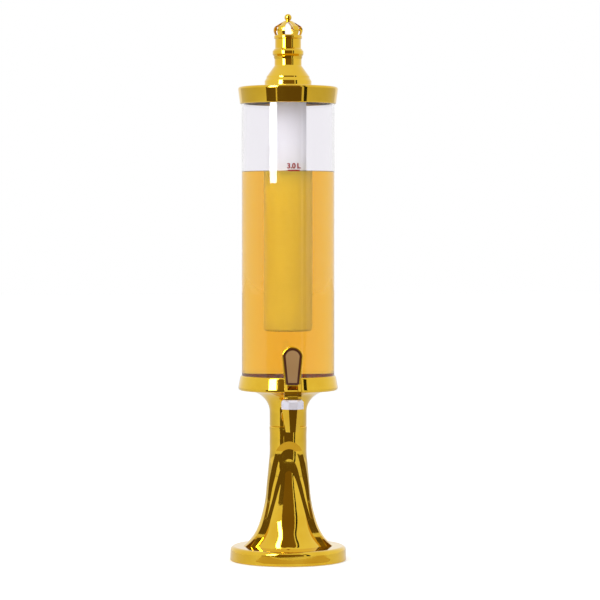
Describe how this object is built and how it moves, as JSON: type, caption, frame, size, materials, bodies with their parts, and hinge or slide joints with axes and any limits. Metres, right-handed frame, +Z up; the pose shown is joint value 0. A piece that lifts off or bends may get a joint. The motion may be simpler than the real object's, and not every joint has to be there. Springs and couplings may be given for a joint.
{
  "type": "column drink dispenser",
  "caption": "Tall countertop drink dispenser: round base, waisted pedestal, clear tube tank with an ice tube, lift-off crowned lid and a lever tap.",
  "frame": {"origin": "centre of the base pad's underside, on the column's axis", "axes": "+Z up along the column, the tap points towards -Y, +X to the right seen from the front"},
  "size_m": [0.149, 0.1642, 0.6981],
  "materials": {
    "gold_plated_plastic": "vacuum plated, mirror gold",
    "clear_tank": "clear polished acrylic",
    "frosted_ice_tube": "translucent white, satin",
    "brown_inlay": "smooth enamel-like face",
    "pearl_nut": "silvery white, satin",
    "black_plastic": "fine moulded grain",
    "silicone": "translucent food silicone",
    "foam_pad": "closed-cell foam",
    "steel": "zinc-plated",
    "stainless": "drawn stainless wire and pin",
    "cast_weight": "plain pressed disc",
    "natural_plastic": "machined acetal"
  },
  "bodies": {
    "stand": {"base_plate": "gold_plated_plastic", "bottom_cover": "black_plastic", "cover_screws": "steel", "base_pad": "foam_pad", "ballast_disc": "cast_weight", "pedestal": "gold_plated_plastic", "pedestal_screws": "steel", "neck": "gold_plated_plastic", "tank_collar": "gold_plated_plastic", "collar_gasket": "silicone", "tube_gasket": "silicone", "tank_tube": "clear_tank", "tap_body": "gold_plated_plastic", "outer_washer": "silicone", "inner_washer": "silicone", "lock_nut": "natural_plastic", "bonnet_nut": "pearl_nut", "stem_gland": "natural_plastic", "closing_spring": "stainless"},
    "valve": {"valve_stem": "gold_plated_plastic", "seat_cup": "silicone", "pivot_pin": "stainless"},
    "lever": {"tap_handle": "gold_plated_plastic", "handle_face": "brown_inlay"},
    "lid": {"lid": "gold_plated_plastic", "lid_seal": "silicone", "ice_seal": "silicone", "finial_base": "gold_plated_plastic", "finial_crown": "gold_plated_plastic", "finial_screw": "steel"},
    "ice": {"ice_tube": "frosted_ice_tube"}
  },
  "joints": [
    {"name": "valve_lift", "type": "slide", "parent": "stand", "child": "valve", "axis": [0, 0, 1], "range_m": [0, 0.00377], "deforming": ["closing_spring"]},
    {"name": "tap_lever", "type": "hinge", "parent": "valve", "child": "lever", "pos_m": [0, -0.076, 0.21815], "axis": [1, 0, 0], "range_deg": [0, 55]},
    {"name": "lid_lift", "type": "slide", "parent": "stand", "child": "lid", "axis": [0, 0, 1], "range_m": [0, 0.32]},
    {"name": "ice_tube_unscrew", "type": "slide", "parent": "lid", "child": "ice", "axis": [0, 0, -1], "range_m": [0, 0.012]}
  ],
  "couplings": [
    {"joint": "tap_lever", "follows": "valve_lift", "rad_per_m": 254.75}
  ]
}
